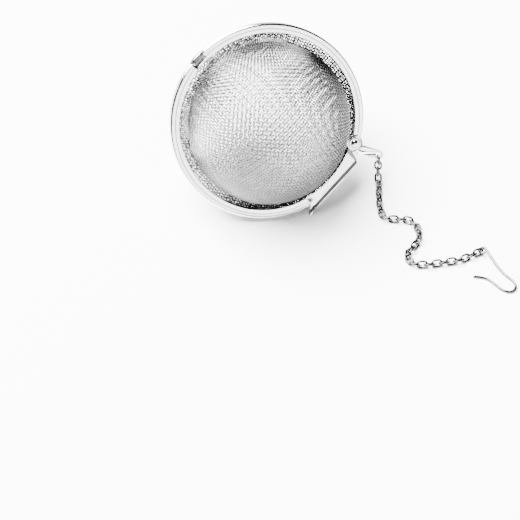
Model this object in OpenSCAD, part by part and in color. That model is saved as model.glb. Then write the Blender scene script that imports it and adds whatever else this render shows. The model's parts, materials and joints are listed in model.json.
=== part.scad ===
// Mesh tea infuser: a ball of two wire-cloth domes, each hemmed in a folded steel rim. The rims
// are joined by a hinge and shut by a swivel lock, and a chain with a wire hook hangs from an ear.
//
// The ball lies open side up and leaning, on its rear dome and the edge of its rim. The origin
// is on the table, straight below the ball's centre, with +Z up and -Y towards the user.
// Pieces of the ball are drawn round its own centre, with the rims' common axis along Z and
// the middle of the lock at +X, and are then set down by one turn, one tilt and one lift.

/* [Domes] */
// Outer radius of each wire-cloth dome
dome_r = 22.8; // [21.5:0.1:24]
// Thickness of the woven cloth, two wires
cloth_t = 0.5; // [0.4:0.05:0.55]

/* [Rims] */
// Outer radius of both rims
rim_r = 27.5; // [27:0.1:28.5]
// Width of the folded hem, measured inwards from the rim's edge
hem_w = 2.6; // [2.3:0.1:2.7]
// Thickness of the folded hem
hem_t = 1.2; // [1.1:0.05:1.3]
// Thickness of the rims' sheet steel
sheet_t = 0.3; // [0.25:0.05:0.3]
// Gap between the two closed rims
rim_gap = 0.2; // [0.1:0.05:0.3]

/* [Hinge] */
// Distance of the hinge axis from the ball's axis
hinge_x = 27.2; // [27.1:0.1:27.5]
// Radius of the round bar on the front rim that the knuckle turns on
hinge_bar_r = 0.4; // [0.35:0.05:0.4]
// Radial play between the bar and the knuckle
hinge_play = 0.05; // [0.03:0.01:0.08]
// Width of the rear rim's curled knuckle
knuckle_w = 3.6; // [3:0.1:4]
// Length of the slot in the front rim
slot_len = 4.2; // [4.2:0.1:4.8]
// Distance from the ball's axis to the inner end of the slot
slot_x = 25.5; // [25.4:0.1:25.8]

/* [Lock] */
// Thickness of the lock's sheet steel
lock_t = 0.4; // [0.3:0.05:0.45]
// Play between the lock and the rims
lock_play = 0.1; // [0.08:0.01:0.15]
// Half length of the lock's folded edge
lock_half = 8.6; // [8.2:0.1:8.8]
// Where the lock's lower leaf ends, short of the finger tab
lock_lower = 6.5; // [6:0.1:7]
// Radius of the lock's round pivot end
pivot_end_r = 2.4; // [2.2:0.1:2.6]
// Direction of the rivet from the middle of the lock, in degrees
pivot_turn = 28; // [27:0.5:29]
// Distance of the rivet from the ball's axis
pivot_r = 25.6; // [25.5:0.1:25.9]
// Length of the finger tab
tab_len = 3; // [2.5:0.1:3.2]
// Width of the finger tab
tab_w = 0.9; // [0.8:0.1:1.2]
// How far the finger tab turns outwards, in degrees
tab_lean = 22; // [18:1:26]
// Distance of the lock's neck from the rim's edge
neck_in = 0.9; // [0.7:0.1:1.1]

/* [Rivet] */
// Radius of the rivet's shank
shank_r = 0.6; // [0.5:0.05:0.7]
// Radius of the rivet's domed head
head_r = 1.05; // [1:0.05:1.2]
// Height of the rivet's domed head
head_h = 0.55; // [0.45:0.05:0.65]
// Outer radius of the washer under the head
washer_r = 1.75; // [1.6:0.05:1.9]
// Thickness of the washer
washer_t = 0.2; // [0.15:0.05:0.25]
// Play above, below and inside the washer
washer_play = 0.05; // [0.03:0.01:0.08]

/* [Chain ear] */
// Direction of the ear from the middle of the lock, in degrees
ear_turn = 24.6; // [24:0.2:26]
// Distance from the ball's axis to the ear's hole
ear_hole_x = 34.4; // [34.2:0.1:34.6]
// Radius of the ear's hole
ear_hole_r = 0.75; // [0.7:0.05:0.8]
// Width of the ear
ear_w = 2.8; // [2.6:0.1:3]
// Thickness of the ear
ear_t = 0.4; // [0.35:0.05:0.45]

/* [Chain] */
// Outer length of a chain link
link_len = 3.4; // [3.4:0.05:3.5]
// Outer width of a chain link
link_w = 2.4; // [2.3:0.05:2.5]
// Thickness of the links' wire
link_wire = 0.6; // [0.5:0.05:0.6]

/* [Hook] */
// Thickness of the hook's wire
hook_wire = 0.75; // [0.7:0.05:0.8]
// Radius of the hook's eye, to the middle of the wire
eye_r = 1.35; // [1.3:0.05:1.4]

/* [Hidden] */
$fn = 96;
link_count = 32;
function link_name(i) = str("link_", i < 9 ? "0" : "", i + 1);

// Heights above the plane where the rims meet
hem_mid = rim_gap / 2 + hem_t / 2;
cloth_low = hem_mid - cloth_t / 2;
rim_top = rim_gap / 2 + hem_t;
leaf_low = rim_top + lock_play;
leaf_top = leaf_low + lock_t;

// How the ball lies: the table touches the rear dome and the fold of the rear rim
fold_x = rim_r - hem_t / 2;
fold_rise = hem_mid - cloth_low;
axis_up = acos((dome_r - hem_t / 2) / norm([fold_x, fold_rise])) + atan2(fold_rise, fold_x);
rest_h = dome_r + cloth_low * sin(axis_up);
rest_turn = 53;

// The chain's course from the ear to the hook: down to the table, then along it in loose bends
chain_z = (link_w - link_wire) / 2 * sin(45) + link_wire / 2 + 0.02;
route = [[30.2, -9.2, 8.75], [30.2, -9.5, 6.6], [30.1, -9.9, 4.4], [29.9, -11.2, 2.4],
         [29.4, -13.4, 1.1], [28.6, -16, chain_z], [27.7, -19, chain_z], [27, -22, chain_z],
         [27.4, -24.6, chain_z], [29.6, -26, chain_z], [32.6, -26.8, chain_z],
         [34.8, -28.8, chain_z], [35, -32.4, chain_z], [33.2, -35.8, chain_z],
         [30.6, -37.2, chain_z], [29, -39.6, chain_z], [30, -42.2, chain_z],
         [33.4, -43.4, chain_z], [38.4, -44, chain_z], [43.2, -44.4, chain_z],
         [46.8, -43.6, chain_z], [49.4, -43.2, chain_z]];

// The hook's course after its eye: down the leg, round the bend and back to the free end
hook_z = hook_wire / 2 + 0.02;
hook_leg = [[51.5, -46, 0.6], [52, -49, 0.5], [53, -52, hook_z], [54.2, -54.4, hook_z],
            [54.5, -56.2, hook_z], [53.6, -57.6, hook_z], [52, -57.8, hook_z],
            [50.4, -56.5, hook_z], [49.1, -54.1, hook_z], [47.9, -52.2, hook_z],
            [46.3, -51.1, hook_z], [44.4, -50.3, hook_z]];
eye_lean = 25;
eye_play = 0.15;
eye_z = eye_r * sin(eye_lean) + hook_wire / 2 + 0.03;
wire_sides = 10;

// A smooth curve through a list of points, with a number of steps between each two
function clamp_i(p, i) = p[max(0, min(len(p) - 1, i))];
function between(p, i, t) =
    let (a = clamp_i(p, i - 1), b = p[i], c = p[i + 1], d = clamp_i(p, i + 2))
    0.5 * (2 * b + (c - a) * t + (2 * a - 5 * b + 4 * c - d) * t * t
           + (3 * b - a - 3 * c + d) * t * t * t);
function smooth(p, steps) =
    concat([for (i = [0 : len(p) - 2]) for (k = [0 : steps - 1]) between(p, i, k / steps)],
           [p[len(p) - 1]]);
function lengths(p) =
    [for (i = 0, s = 0; i < len(p); s = s + (i < len(p) - 1 ? norm(p[i + 1] - p[i]) : 0), i = i + 1) s];
function along(p, s_at, s) =
    let (k = max([for (i = [0 : len(p) - 2]) if (s_at[i] <= s || i == 0) i]))
    p[k] + (p[k + 1] - p[k]) * (s - s_at[k]) / (s_at[k + 1] - s_at[k]);

chain_curve = smooth(route, 8);
chain_at = lengths(chain_curve);
chain_len = chain_at[len(chain_at) - 1];
pitch = chain_len / link_count;
joints = [for (i = [0 : link_count]) along(chain_curve, chain_at, min(i * pitch, chain_len - 0.001))];
// Links hang square to the ear's plane, and roll half a right angle to lie on the table
function link_roll(i) = 45 * min(1, i / 4) + (i % 2 == 0 ? 90 : 0);

module set_down() {
    translate([0, 0, rest_h]) rotate([90 - axis_up, 0, 0]) rotate([0, 0, -rest_turn]) children();
}

module at_hinge() {
    rotate([0, 0, 180]) children();
}

module at_pivot() {
    rotate([0, 0, pivot_turn]) translate([pivot_r, 0, 0]) children();
}

module rear() {
    mirror([0, 0, 1]) children();
}

// One half of the ball's wire cloth: a dome with a flat brim that the hem grips
module cloth_half() {
    rotate_extrude() union() {
        translate([0, cloth_low]) intersection() {
            difference() {
                circle(r = dome_r);
                circle(r = dome_r - cloth_t);
            }
            square(dome_r + 1);
        }
        translate([dome_r - cloth_t, cloth_low]) square([fold_x - 0.1 - dome_r + cloth_t, cloth_t]);
    }
}

// The strip of sheet folded over the brim's edge
module hem() {
    slot_t = hem_t - 2 * sheet_t;
    rotate_extrude() difference() {
        union() {
            translate([rim_r - hem_w, rim_gap / 2]) square([hem_w - hem_t / 2, hem_t]);
            translate([fold_x, hem_mid]) circle(r = hem_t / 2);
        }
        union() {
            translate([rim_r - hem_w - 1, hem_mid - slot_t / 2]) square([hem_w + 1 - hem_t / 2, slot_t]);
            translate([fold_x, hem_mid]) circle(r = slot_t / 2);
        }
    }
}

module hinge_slot() {
    at_hinge() translate([slot_x, -slot_len / 2, -1]) cube([5, slot_len, 5]);
}

module rivet_hole(r) {
    at_pivot() translate([0, 0, -1]) cylinder(r = r, h = 6);
}

module front_mesh() {
    color("gainsboro") set_down() difference() {
        cloth_half();
        hinge_slot();
        rivet_hole(shank_r + 0.02);
    }
}

module front_rim() {
    color("silver") set_down() {
        difference() {
            hem();
            hinge_slot();
            rivet_hole(shank_r + 0.02);
        }
        at_hinge() translate([hinge_x, 0, hem_mid]) rotate([90, 0, 0])
            cylinder(r = hinge_bar_r, h = slot_len + 0.8, center = true);
    }
}

module rear_mesh() {
    color("gainsboro") set_down() rear() cloth_half();
}

// The rear rim's tab: up from the rear hem through the slot and rolled over the hinge bar
module knuckle() {
    inner = hinge_bar_r + hinge_play;
    outer = inner + lock_t;
    drop = hem_mid + rim_gap / 2 + sheet_t;
    at_hinge() translate([hinge_x, 0, hem_mid]) rotate([90, 0, 0])
        linear_extrude(knuckle_w, center = true) {
            difference() {
                circle(r = outer);
                circle(r = inner);
                translate([0, -2 * outer]) square(2 * outer);
            }
            translate([-outer, -drop]) square([lock_t, drop]);
        }
}

module ear_plate(t) {
    rotate([0, 0, ear_turn]) translate([0, 0, -hem_mid]) linear_extrude(t, center = true) {
        translate([fold_x, -ear_w / 2]) square([ear_hole_x - fold_x, ear_w]);
        translate([ear_hole_x, 0]) circle(d = ear_w);
    }
}

module rear_rim() {
    color("silver") set_down() {
        difference() {
            rear() hem();
            ear_plate(ear_t + 0.02);
        }
        knuckle();
    }
}

module chain_ear() {
    color("lightgray") set_down() difference() {
        ear_plate(ear_t);
        rotate([0, 0, ear_turn]) translate([ear_hole_x, 0, -3]) cylinder(r = ear_hole_r, h = 6);
    }
}

// The lock's outline over one rim: straight outside, and round the ball's axis inside
module lock_outline(inner_r, end) {
    difference() {
        translate([inner_r - 3, -end]) square([fold_x + 0.1 - inner_r + 3, end + lock_half]);
        circle(r = inner_r);
    }
}

// The neck that joins the lock to its round pivot end
module lock_neck(inner_r) {
    far = rim_r + 3;
    neck_start = asin(lock_half / rim_r) - 5;
    intersection() {
        difference() {
            circle(r = rim_r - neck_in);
            circle(r = inner_r);
        }
        polygon([[0, 0], far * [1, tan(neck_start)], far * [1, tan(pivot_turn)]]);
    }
    at_pivot() circle(r = pivot_end_r);
}

// The folded edge, a quarter bend over one rim and half of the outer wall
module lock_bend(end) {
    bend_r = hem_t / 2 + lock_t;
    translate([0, -end, 0]) rotate([90, 0, 180]) mirror([1, 0, 0])
        linear_extrude(end + lock_half) difference() {
            union() {
                translate([fold_x + 0.1, leaf_top - bend_r]) circle(r = bend_r);
                translate([fold_x + 0.1, 0]) square([bend_r, leaf_top - bend_r]);
            }
            union() {
                translate([fold_x + 0.1, leaf_top - bend_r]) circle(r = bend_r - lock_t);
                translate([fold_x, -1]) square([bend_r - lock_t + 0.1, leaf_top - bend_r + 1]);
            }
            translate([fold_x - 4, -1]) square([4.1, 5]);
        }
}

module lock_clip() {
    color("whitesmoke") set_down() {
        difference() {
            union() {
                translate([0, 0, leaf_low]) linear_extrude(lock_t) {
                    lock_outline(rim_r - hem_w - 0.5, lock_half);
                    lock_neck(rim_r - hem_w - 0.5);
                    translate([fold_x - 1, 0.3 - lock_half]) rotate(tab_lean) {
                        translate([-tab_w / 2, -tab_len]) square([tab_w, tab_len]);
                        translate([0, -tab_len]) circle(d = tab_w);
                    }
                }
                lock_bend(lock_half);
            }
            rivet_hole(shank_r + washer_play);
        }
        rear() {
            translate([0, 0, leaf_low]) linear_extrude(lock_t)
                lock_outline(rim_r - hem_w, lock_lower);
            lock_bend(lock_lower);
        }
    }
}

module lock_washer() {
    color("silver") set_down() at_pivot() translate([0, 0, leaf_top + washer_play]) difference() {
        cylinder(r = washer_r, h = washer_t);
        translate([0, 0, -1]) cylinder(r = shank_r + washer_play, h = 3);
    }
}

module lock_rivet() {
    head_low = leaf_top + washer_play + washer_t + washer_play;
    ball_r = (head_r * head_r + head_h * head_h) / (2 * head_h);
    color("white") set_down() at_pivot() {
        translate([0, 0, rim_gap / 2 + 0.02]) cylinder(r = shank_r, h = head_low - rim_gap / 2);
        translate([0, 0, head_low]) rotate_extrude() intersection() {
            translate([0, head_h - ball_r]) circle(r = ball_r);
            square([head_r, head_h]);
        }
    }
}

// One oval link, lying flat with its length along X
module link_shape() {
    bend_r = (link_w - link_wire) / 2;
    straight = link_len - link_w;
    for (side = [-1, 1]) {
        translate([0, side * bend_r, 0]) rotate([0, 90, 0])
            cylinder(d = link_wire, h = straight, center = true);
        translate([side * straight / 2, 0, 0]) rotate([0, 0, -90 * side])
            rotate_extrude(angle = 180) translate([bend_r, 0]) circle(d = link_wire);
    }
}

module chain_link(i) {
    course = joints[i + 1] - joints[i];
    color(i % 2 == 0 ? "silver" : "darkgray")
        translate((joints[i] + joints[i + 1]) / 2)
        rotate([0, 0, atan2(course[1], course[0])])
        rotate([0, -asin(course[2] / norm(course)), 0])
        rotate([link_roll(i), 0, 0]) link_shape();
}

// A round wire swept along points that never run straight up
module wire(points, d) {
    last = len(points) - 1;
    function heading(i) = let (v = clamp_i(points, i + 1) - clamp_i(points, i - 1)) v / norm(v);
    function side_of(t) = let (s = cross(t, [0, 0, 1])) s / norm(s);
    rings = [for (i = [0 : last])
        let (t = heading(i), s = side_of(t), u = cross(s, t))
        for (k = [0 : wire_sides - 1])
            points[i] + d / 2 * (s * cos(360 * k / wire_sides) + u * sin(360 * k / wire_sides))];
    walls = [for (i = [0 : last - 1]) for (k = [0 : wire_sides - 1])
        let (a = i * wire_sides + k, b = i * wire_sides + (k + 1) % wire_sides)
        [a, b, b + wire_sides, a + wire_sides]];
    start = [for (k = [wire_sides - 1 : -1 : 0]) k];
    end = [for (k = [0 : wire_sides - 1]) last * wire_sides + k];
    polyhedron(points = rings, faces = concat([start], walls, [end]), convexity = 6);
}

module hook() {
    end = joints[link_count];
    course = joints[link_count] - joints[link_count - 1];
    out = course / norm(course);
    across = cross([0, 0, 1], out);
    lean = across * cos(eye_lean) - [0, 0, sin(eye_lean)];
    centre = [end[0], end[1], eye_z] + out * (eye_r - hook_wire / 2 - eye_play);
    eye = [for (a = [-80 : 15 : 130]) centre + eye_r * (lean * sin(a) - out * cos(a))];
    color("lightgray") wire(concat(eye, smooth(hook_leg, 3)), hook_wire);
}

rear_mesh();
rear_rim();
chain_ear();
front_mesh();
front_rim();
lock_clip();
lock_washer();
lock_rivet();
for (i = [0 : link_count - 1]) chain_link(i);
hook();
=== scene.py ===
"""The looks of a mesh tea infuser: two woven wire domes in folded steel rims, with a swivel lock, a chain
and a hook.

Run in Blender 4.5 it builds the whole picture; as an add-on it puts the same steps in a sidebar panel.
Pieces of the ball are worked out in the ball's own frame, in millimetres: Z is the rims' common axis,
+X the middle of the lock, and the hinge lies at -X. Everything else is in metres, in the frame's own axes.
"""
import json
import math

import bmesh
import bpy
import numpy as np
from mathutils import Matrix, Vector


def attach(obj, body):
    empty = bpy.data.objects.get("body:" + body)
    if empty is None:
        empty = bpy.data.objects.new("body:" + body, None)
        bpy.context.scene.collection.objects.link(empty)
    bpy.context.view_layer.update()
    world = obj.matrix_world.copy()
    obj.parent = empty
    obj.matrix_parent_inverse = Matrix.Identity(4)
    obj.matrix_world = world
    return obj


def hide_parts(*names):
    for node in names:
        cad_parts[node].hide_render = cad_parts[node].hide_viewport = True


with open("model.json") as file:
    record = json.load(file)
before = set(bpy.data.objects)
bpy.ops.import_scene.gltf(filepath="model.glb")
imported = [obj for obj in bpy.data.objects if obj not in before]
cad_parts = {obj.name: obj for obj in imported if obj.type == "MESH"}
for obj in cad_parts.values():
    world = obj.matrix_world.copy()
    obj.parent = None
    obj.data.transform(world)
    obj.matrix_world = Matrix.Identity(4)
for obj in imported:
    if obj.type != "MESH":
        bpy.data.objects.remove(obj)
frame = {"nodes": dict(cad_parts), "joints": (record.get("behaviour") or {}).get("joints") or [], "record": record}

bl_info = {
    "name": "Mesh tea infuser",
    "version": (1, 0, 0),
    "blender": (4, 5, 0),
    "location": "3D View > Sidebar > Infuser",
    "description": "Builds the woven domes, rims, lock, chain and hook of a mesh tea infuser",
    "category": "Object",
}

MM = 0.001

# radii between which the rims' painted dark ring, the shade of a groove, begins and ends, in the ball's own
# millimetres
GROOVE_SHADE_INNER = (25.75, 26.0)
GROOVE_SHADE_OUTER = (26.05, 26.3)
# where the painted shade in the notch between the lock's straight edge and its pivot end begins and ends, along
# the ball's own Y
NOTCH_SHADE_START = (8.3, 8.9)
NOTCH_SHADE_END = (9.8, 10.4)


# ---------------------------------------------------------------- settings

def length(name, description, default):
    """A length in metres, given in millimetres."""
    return bpy.props.FloatProperty(name=name, description=description, default=default * MM,
                                   min=0, unit="LENGTH", precision=5)


def angle(name, description, default):
    """An angle, given in degrees."""
    return bpy.props.FloatProperty(name=name, description=description,
                                   default=math.radians(default), unit="ROTATION", subtype="ANGLE")


def number(name, description, default):
    """A plain number."""
    return bpy.props.FloatProperty(name=name, description=description, default=default)


class INFUSER_PG_cloth(bpy.types.PropertyGroup):
    """The woven wire cloth of both domes."""
    dome_r: length("Dome radius", "From the ball's centre to the middle of the cloth", 22.46)
    dome_z: length("Dome centre", "Height of a dome's centre over the plane between the rims", 0.45)
    brim_z: length("Brim height", "Height of the flat brim over the plane between the rims", 0.7)
    brim_r: length("Brim radius", "Where the cloth ends inside the hem", 26.6)
    fillet_r: length("Brim bend", "Radius of the bend between dome and brim", 1.2)
    pitch: length("Pitch", "Distance between neighbouring wires", 0.8)
    wire: length("Wire", "Thickness of the cloth's wires", 0.30)
    front_turn: angle("Front weave direction", "Direction of the front dome's warp", -4)
    rear_turn: angle("Rear weave direction", "Direction of the rear dome's warp", 21)
    sides: bpy.props.IntProperty(name="Wire sides", description="Sides of each wire", default=6,
                                 min=4, max=12)


class INFUSER_PG_rims(bpy.types.PropertyGroup):
    """The folded rims, the hinge and the chain's ear."""
    rim_r: length("Rim radius", "Outer radius of the rims", 27.495)
    hem_w: length("Hem width", "Width of the folded hem", 2.6)
    hem_t: length("Hem thickness", "Thickness of the folded hem", 1.2)
    sheet: length("Sheet", "Thickness of the rims' sheet steel", 0.3)
    gap: length("Rim gap", "Gap between the closed rims", 0.2)
    wave: length("Hem waviness", "How far the hem's inner edge wanders", 0.035)
    hinge_x: length("Hinge distance", "From the ball's axis to the hinge axis", 27.2)
    slot_w: length("Slot length", "Length of the slot in the front rim", 4.2)
    slot_x: length("Slot distance", "From the ball's axis to the inner side of the slot", 25.5)
    knuckle_w: length("Knuckle width", "Width of the curled knuckle", 3.6)
    bar_r: length("Hinge bar", "Radius of the bar in the slot", 0.4)
    ear_turn: angle("Ear direction", "Direction of the ear from the lock's middle", 24.6)
    ear_x: length("Ear hole distance", "From the ball's axis to the ear's hole", 34.4)
    ear_w: length("Ear width", "Width of the ear", 2.8)
    ear_t: length("Ear thickness", "Thickness of the ear", 0.4)
    ear_hole: length("Ear hole", "Radius of the ear's hole", 0.75)


class INFUSER_PG_lock(bpy.types.PropertyGroup):
    """The swivel lock, its washer and its rivet."""
    sheet: length("Sheet", "Thickness of the lock's sheet steel", 0.4)
    leaf: length("Leaf height", "Height of the middle of each leaf", 1.6)
    wall: length("Wall distance", "From the ball's axis to the middle of the outer wall", 27.8)
    bend: length("Bend radius", "Radius of both folds, to the middle of the sheet", 0.8)
    half: length("Half length", "Half length of the folded edge", 8.6)
    lower: length("Lower leaf end", "Where the lower leaf ends", 6.5)
    inner: length("Inner radius", "Inner radius of the upper leaf", 24.4)
    pivot_r: length("Rivet distance", "From the ball's axis to the rivet", 25.6)
    pivot_turn: angle("Rivet direction", "Direction of the rivet from the lock's middle", 28)
    end_r: length("Pivot end", "Radius of the round pivot end", 2.4)
    tab: length("Tab length", "Length of the finger tab", 3.0)
    tab_w: length("Tab width", "Width of the finger tab", 0.9)
    tab_lean: angle("Tab lean", "How far the finger tab turns outwards", 22)
    washer_r: length("Washer radius", "Outer radius of the washer", 1.75)
    head_r: length("Rivet head", "Radius of the rivet's domed head", 1.05)
    head_h: length("Rivet head height", "Height of the rivet's domed head", 0.55)
    shank_r: length("Rivet shank", "Radius of the rivet's shank", 0.6)


class INFUSER_PG_chain(bpy.types.PropertyGroup):
    """The chain and the hook."""
    link_len: length("Link length", "Outer length of a link", 3.4)
    link_w: length("Link width", "Outer width of a link", 2.4)
    link_wire: length("Link wire", "Thickness of the links' wire", 0.59)
    weld: number("Weld", "How much thicker the wire is at its joint", 0.03)
    hook_wire: length("Hook wire", "Thickness of the hook's wire", 0.745)
    eye_r: length("Eye radius", "Radius of the hook's eye, to the middle of the wire", 1.35)
    eye_lean: angle("Eye lean", "How far the eye leans out of the table's plane", 25)


class INFUSER_PG_stage(bpy.types.PropertyGroup):
    """The floor, the lights and the camera."""
    azimuth: angle("Camera azimuth", "Direction of the camera round the object", -16.28)
    elevation: angle("Camera elevation", "Height of the camera over the horizon", 48.67)
    distance: length("Camera distance", "From the ball's centre to the camera", 400)
    lens: number("Lens", "Focal length in millimetres", 99.67)
    drop: angle("Aim drop", "How far the camera aims below the ball", 5.472)
    swing: angle("Aim swing", "How far the camera aims to the left of the ball", 0.457)
    world: number("World light", "Strength of the light from all round", 0.03)
    key: number("Main light", "Strength of the large light above", 220.0)
    front: number("Front light", "Strength of the low light in front", 10.0)


GROUPS = {"cloth": INFUSER_PG_cloth, "rims": INFUSER_PG_rims, "lock": INFUSER_PG_lock,
          "chain": INFUSER_PG_chain, "stage": INFUSER_PG_stage}


class INFUSER_PG_all(bpy.types.PropertyGroup):
    """All settings of the tea infuser."""
    cloth: bpy.props.PointerProperty(type=INFUSER_PG_cloth, name="Cloth", description="Wire cloth")
    rims: bpy.props.PointerProperty(type=INFUSER_PG_rims, name="Rims", description="Rims and hinge")
    lock: bpy.props.PointerProperty(type=INFUSER_PG_lock, name="Lock", description="Swivel lock")
    chain: bpy.props.PointerProperty(type=INFUSER_PG_chain, name="Chain", description="Chain and hook")
    stage: bpy.props.PointerProperty(type=INFUSER_PG_stage, name="Stage", description="Stage")


# ---------------------------------------------------------------- the ball's own frame

class Ball:
    """The ball's frame, taken from the lid's hinge and the lock's pivot."""

    def __init__(self, settings):
        joints = {j["name"]: j for j in frame["joints"]}
        self.z = Vector(joints["lock_pivot"]["axis"]).normalized()
        self.y = -Vector(joints["lid_hinge"]["axis"]).normalized()
        self.x = self.y.cross(self.z).normalized()
        hinge = Vector(joints["lid_hinge"]["pos_m"])
        rise = settings.rims.gap / 2 + settings.rims.hem_t / 2
        self.centre = hinge + self.x * settings.rims.hinge_x - self.z * rise
        self.turned = np.array([self.x, self.y, self.z])

    def out(self, points):
        """Points in the ball's frame, in millimetres, as points in the row frame, in metres."""
        return np.asarray(points, float).reshape(-1, 3) * MM @ self.turned + np.array(self.centre)


def mm(settings, *names):
    """Settings given in metres, in millimetres."""
    return [getattr(settings, n) / MM for n in names]


def polar(r, turn, z=0.0):
    """A point at that radius and angle in radians."""
    return (r * math.cos(turn), r * math.sin(turn), z)


# ---------------------------------------------------------------- making pieces

def linked(name, data):
    """A new object of that data, in the scene."""
    made = bpy.data.objects.new(name, data)
    bpy.context.scene.collection.objects.link(made)
    return made


def new_piece(name, verts, faces, ball=None):
    """A mesh object from points; with a ball they are in its frame, and are kept as the attribute "own"."""
    mesh = bpy.data.meshes.new(name)
    verts = np.asarray(verts, float).reshape(-1, 3)
    world = ball.out(verts) if ball else verts
    mesh.from_pydata([tuple(v) for v in world], [], faces)
    own = mesh.attributes.new("own", "FLOAT_VECTOR", "POINT")
    own.data.foreach_set("vector", (verts if ball else world / MM).astype(np.float32).ravel())
    mesh.polygons.foreach_set("use_smooth", [True] * len(mesh.polygons))
    mesh.validate()
    return linked(name, mesh)


def clean(piece):
    """Welds doubled points and turns every face outwards."""
    work = bmesh.new()
    work.from_mesh(piece.data)
    bmesh.ops.remove_doubles(work, verts=work.verts, dist=2e-7)
    bmesh.ops.recalc_face_normals(work, faces=work.faces)
    work.to_mesh(piece.data)
    work.free()
    return piece


def baked(piece):
    """The piece with its modifiers turned into plain mesh."""
    bpy.context.view_layer.update()
    shown = piece.evaluated_get(bpy.context.evaluated_depsgraph_get())
    mesh = bpy.data.meshes.new_from_object(shown)
    piece.modifiers.clear()
    old = piece.data
    piece.data = mesh
    mesh.name = piece.name
    bpy.data.meshes.remove(old)
    return piece


def bevelled(piece, width, limit=30):
    """Rounds the piece's sharp edges by that width in millimetres."""
    mod = piece.modifiers.new("Bevel", "BEVEL")
    mod.width = width * MM
    mod.segments = 2
    mod.limit_method = "ANGLE"
    mod.angle_limit = math.radians(limit)
    mod.harden_normals = False
    mod.use_clamp_overlap = True
    return baked(piece)


def dress(piece, material, body, slot, *nodes):
    """Gives the piece its material and body, and hides the CAD nodes it stands for. The slot is not used."""
    piece.data.materials.clear()
    piece.data.materials.append(material)
    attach(piece, body)
    if nodes:
        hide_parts(*nodes)
    return piece


def revolved(name, ball, section, turns, closed=True):
    """A closed outline of (radius, height) turned round the ball's axis through a list of angles.
    The section may be a function of the angle."""
    loops = [section(a) if callable(section) else section for a in turns]
    n = len(loops[0])
    verts = [polar(r, a, z) for a, loop in zip(turns, loops) for r, z in loop]
    steps = len(turns) if closed else len(turns) - 1
    faces = [(i * n + k, i * n + (k + 1) % n, ((i + 1) % len(turns)) * n + (k + 1) % n,
              ((i + 1) % len(turns)) * n + k) for i in range(steps) for k in range(n)]
    if not closed:
        faces += [tuple(range(n))[::-1], tuple(range((len(turns) - 1) * n, len(turns) * n))]
    return clean(new_piece(name, verts, faces, ball))


def prism(name, ball, outline, low, high, holes=(), place=lambda p, z: (p[0], p[1], z)):
    """A flat plate with that outline and holes between two heights.
    The function place puts a point of it in the ball's frame."""
    work = bmesh.new()
    edges = []
    for loop in (outline, *holes):
        points = [work.verts.new(place(p, low)) for p in loop]
        edges += [work.edges.new((a, b)) for a, b in zip(points, points[1:] + points[:1])]
    made = bmesh.ops.triangle_fill(work, use_beauty=True, use_dissolve=True, edges=edges)
    faces = [f for f in made["geom"] if isinstance(f, bmesh.types.BMFace)]
    grown = bmesh.ops.extrude_face_region(work, geom=faces)
    top = [v for v in grown["geom"] if isinstance(v, bmesh.types.BMVert)]
    shift = Vector(place((0, 0), high)) - Vector(place((0, 0), low))
    bmesh.ops.translate(work, verts=top, vec=shift)
    bmesh.ops.recalc_face_normals(work, faces=work.faces)
    work.verts.ensure_lookup_table()
    verts = [tuple(v.co) for v in work.verts]
    index = {v: i for i, v in enumerate(work.verts)}
    solid = [tuple(index[v] for v in f.verts) for f in work.faces]
    work.free()
    return clean(new_piece(name, verts, solid, ball))


def arc(centre, r, start, end, steps):
    """Points of an arc, with angles in degrees."""
    return [(centre[0] + r * math.cos(math.radians(start + (end - start) * k / steps)),
             centre[1] + r * math.sin(math.radians(start + (end - start) * k / steps)))
            for k in range(steps + 1)]


def swept(name, points, radii, sides=16):
    """A round wire through points, with a rounded-off radius for each; both ends are closed."""
    points = np.asarray(points, float)
    along = np.gradient(points, axis=0)
    along /= np.linalg.norm(along, axis=1)[:, None]
    side = np.cross(along[0], (0.0, 0.0, 1.0))
    side /= np.linalg.norm(side)
    verts = []
    for p, t, r in zip(points, along, radii):
        side = side - t * (side @ t)
        side /= np.linalg.norm(side)
        up = np.cross(side, t)
        verts += [p + r * (side * math.cos(2 * math.pi * k / sides)
                           + up * math.sin(2 * math.pi * k / sides)) for k in range(sides)]
    faces = [(i * sides + k, i * sides + (k + 1) % sides, (i + 1) * sides + (k + 1) % sides,
              (i + 1) * sides + k) for i in range(len(points) - 1) for k in range(sides)]
    faces += [tuple(range(sides))[::-1], tuple(range((len(points) - 1) * sides, len(points) * sides))]
    return clean(new_piece(name, verts, faces))


def curve_through(points, steps):
    """A smooth curve through points, with that many steps between each two."""
    p = [np.array(q, float) for q in points]
    p = [2 * p[0] - p[1], *p, 2 * p[-1] - p[-2]]
    made = []
    for i in range(1, len(p) - 2):
        a, b, c, d = p[i - 1:i + 3]
        for k in range(steps):
            t = k / steps
            made.append(0.5 * (2 * b + (c - a) * t + (2 * a - 5 * b + 4 * c - d) * t * t
                               + (3 * b - a - 3 * c + d) * t ** 3))
    return made + [p[-2]]


# ---------------------------------------------------------------- node expressions

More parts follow.
